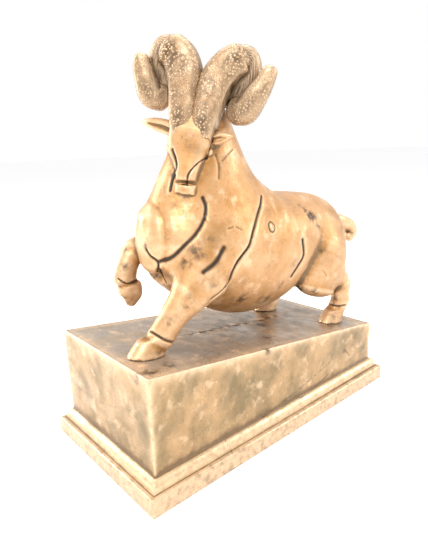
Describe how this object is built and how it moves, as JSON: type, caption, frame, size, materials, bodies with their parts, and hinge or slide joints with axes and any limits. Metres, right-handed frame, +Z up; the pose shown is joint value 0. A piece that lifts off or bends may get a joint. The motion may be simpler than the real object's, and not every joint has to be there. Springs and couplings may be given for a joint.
{
  "type": "bronze ram figurine",
  "caption": "Cast bronze ram with curled horns, a turned head and one raised foreleg, standing on a plinth whose top slopes down to the rear.",
  "frame": {"origin": "centre of the plinth's flat underside", "axes": "+Z up; the ram stands along Y and faces -Y; +X is towards its left flank, the side with the standing foreleg"},
  "size_m": [0.198, 0.4542, 0.4308],
  "materials": {
    "ram_bronze": "cast bronze, rubbed ochre-tan patina on the high places, dark brown in the hollows and grooves",
    "plinth_bronze": "cast bronze, mottled brown and olive patina with dark specks, scratches and worn light edges"
  },
  "bodies": {
    "root": {"ram": "ram_bronze", "plinth": "plinth_bronze"}
  },
  "joints": []
}
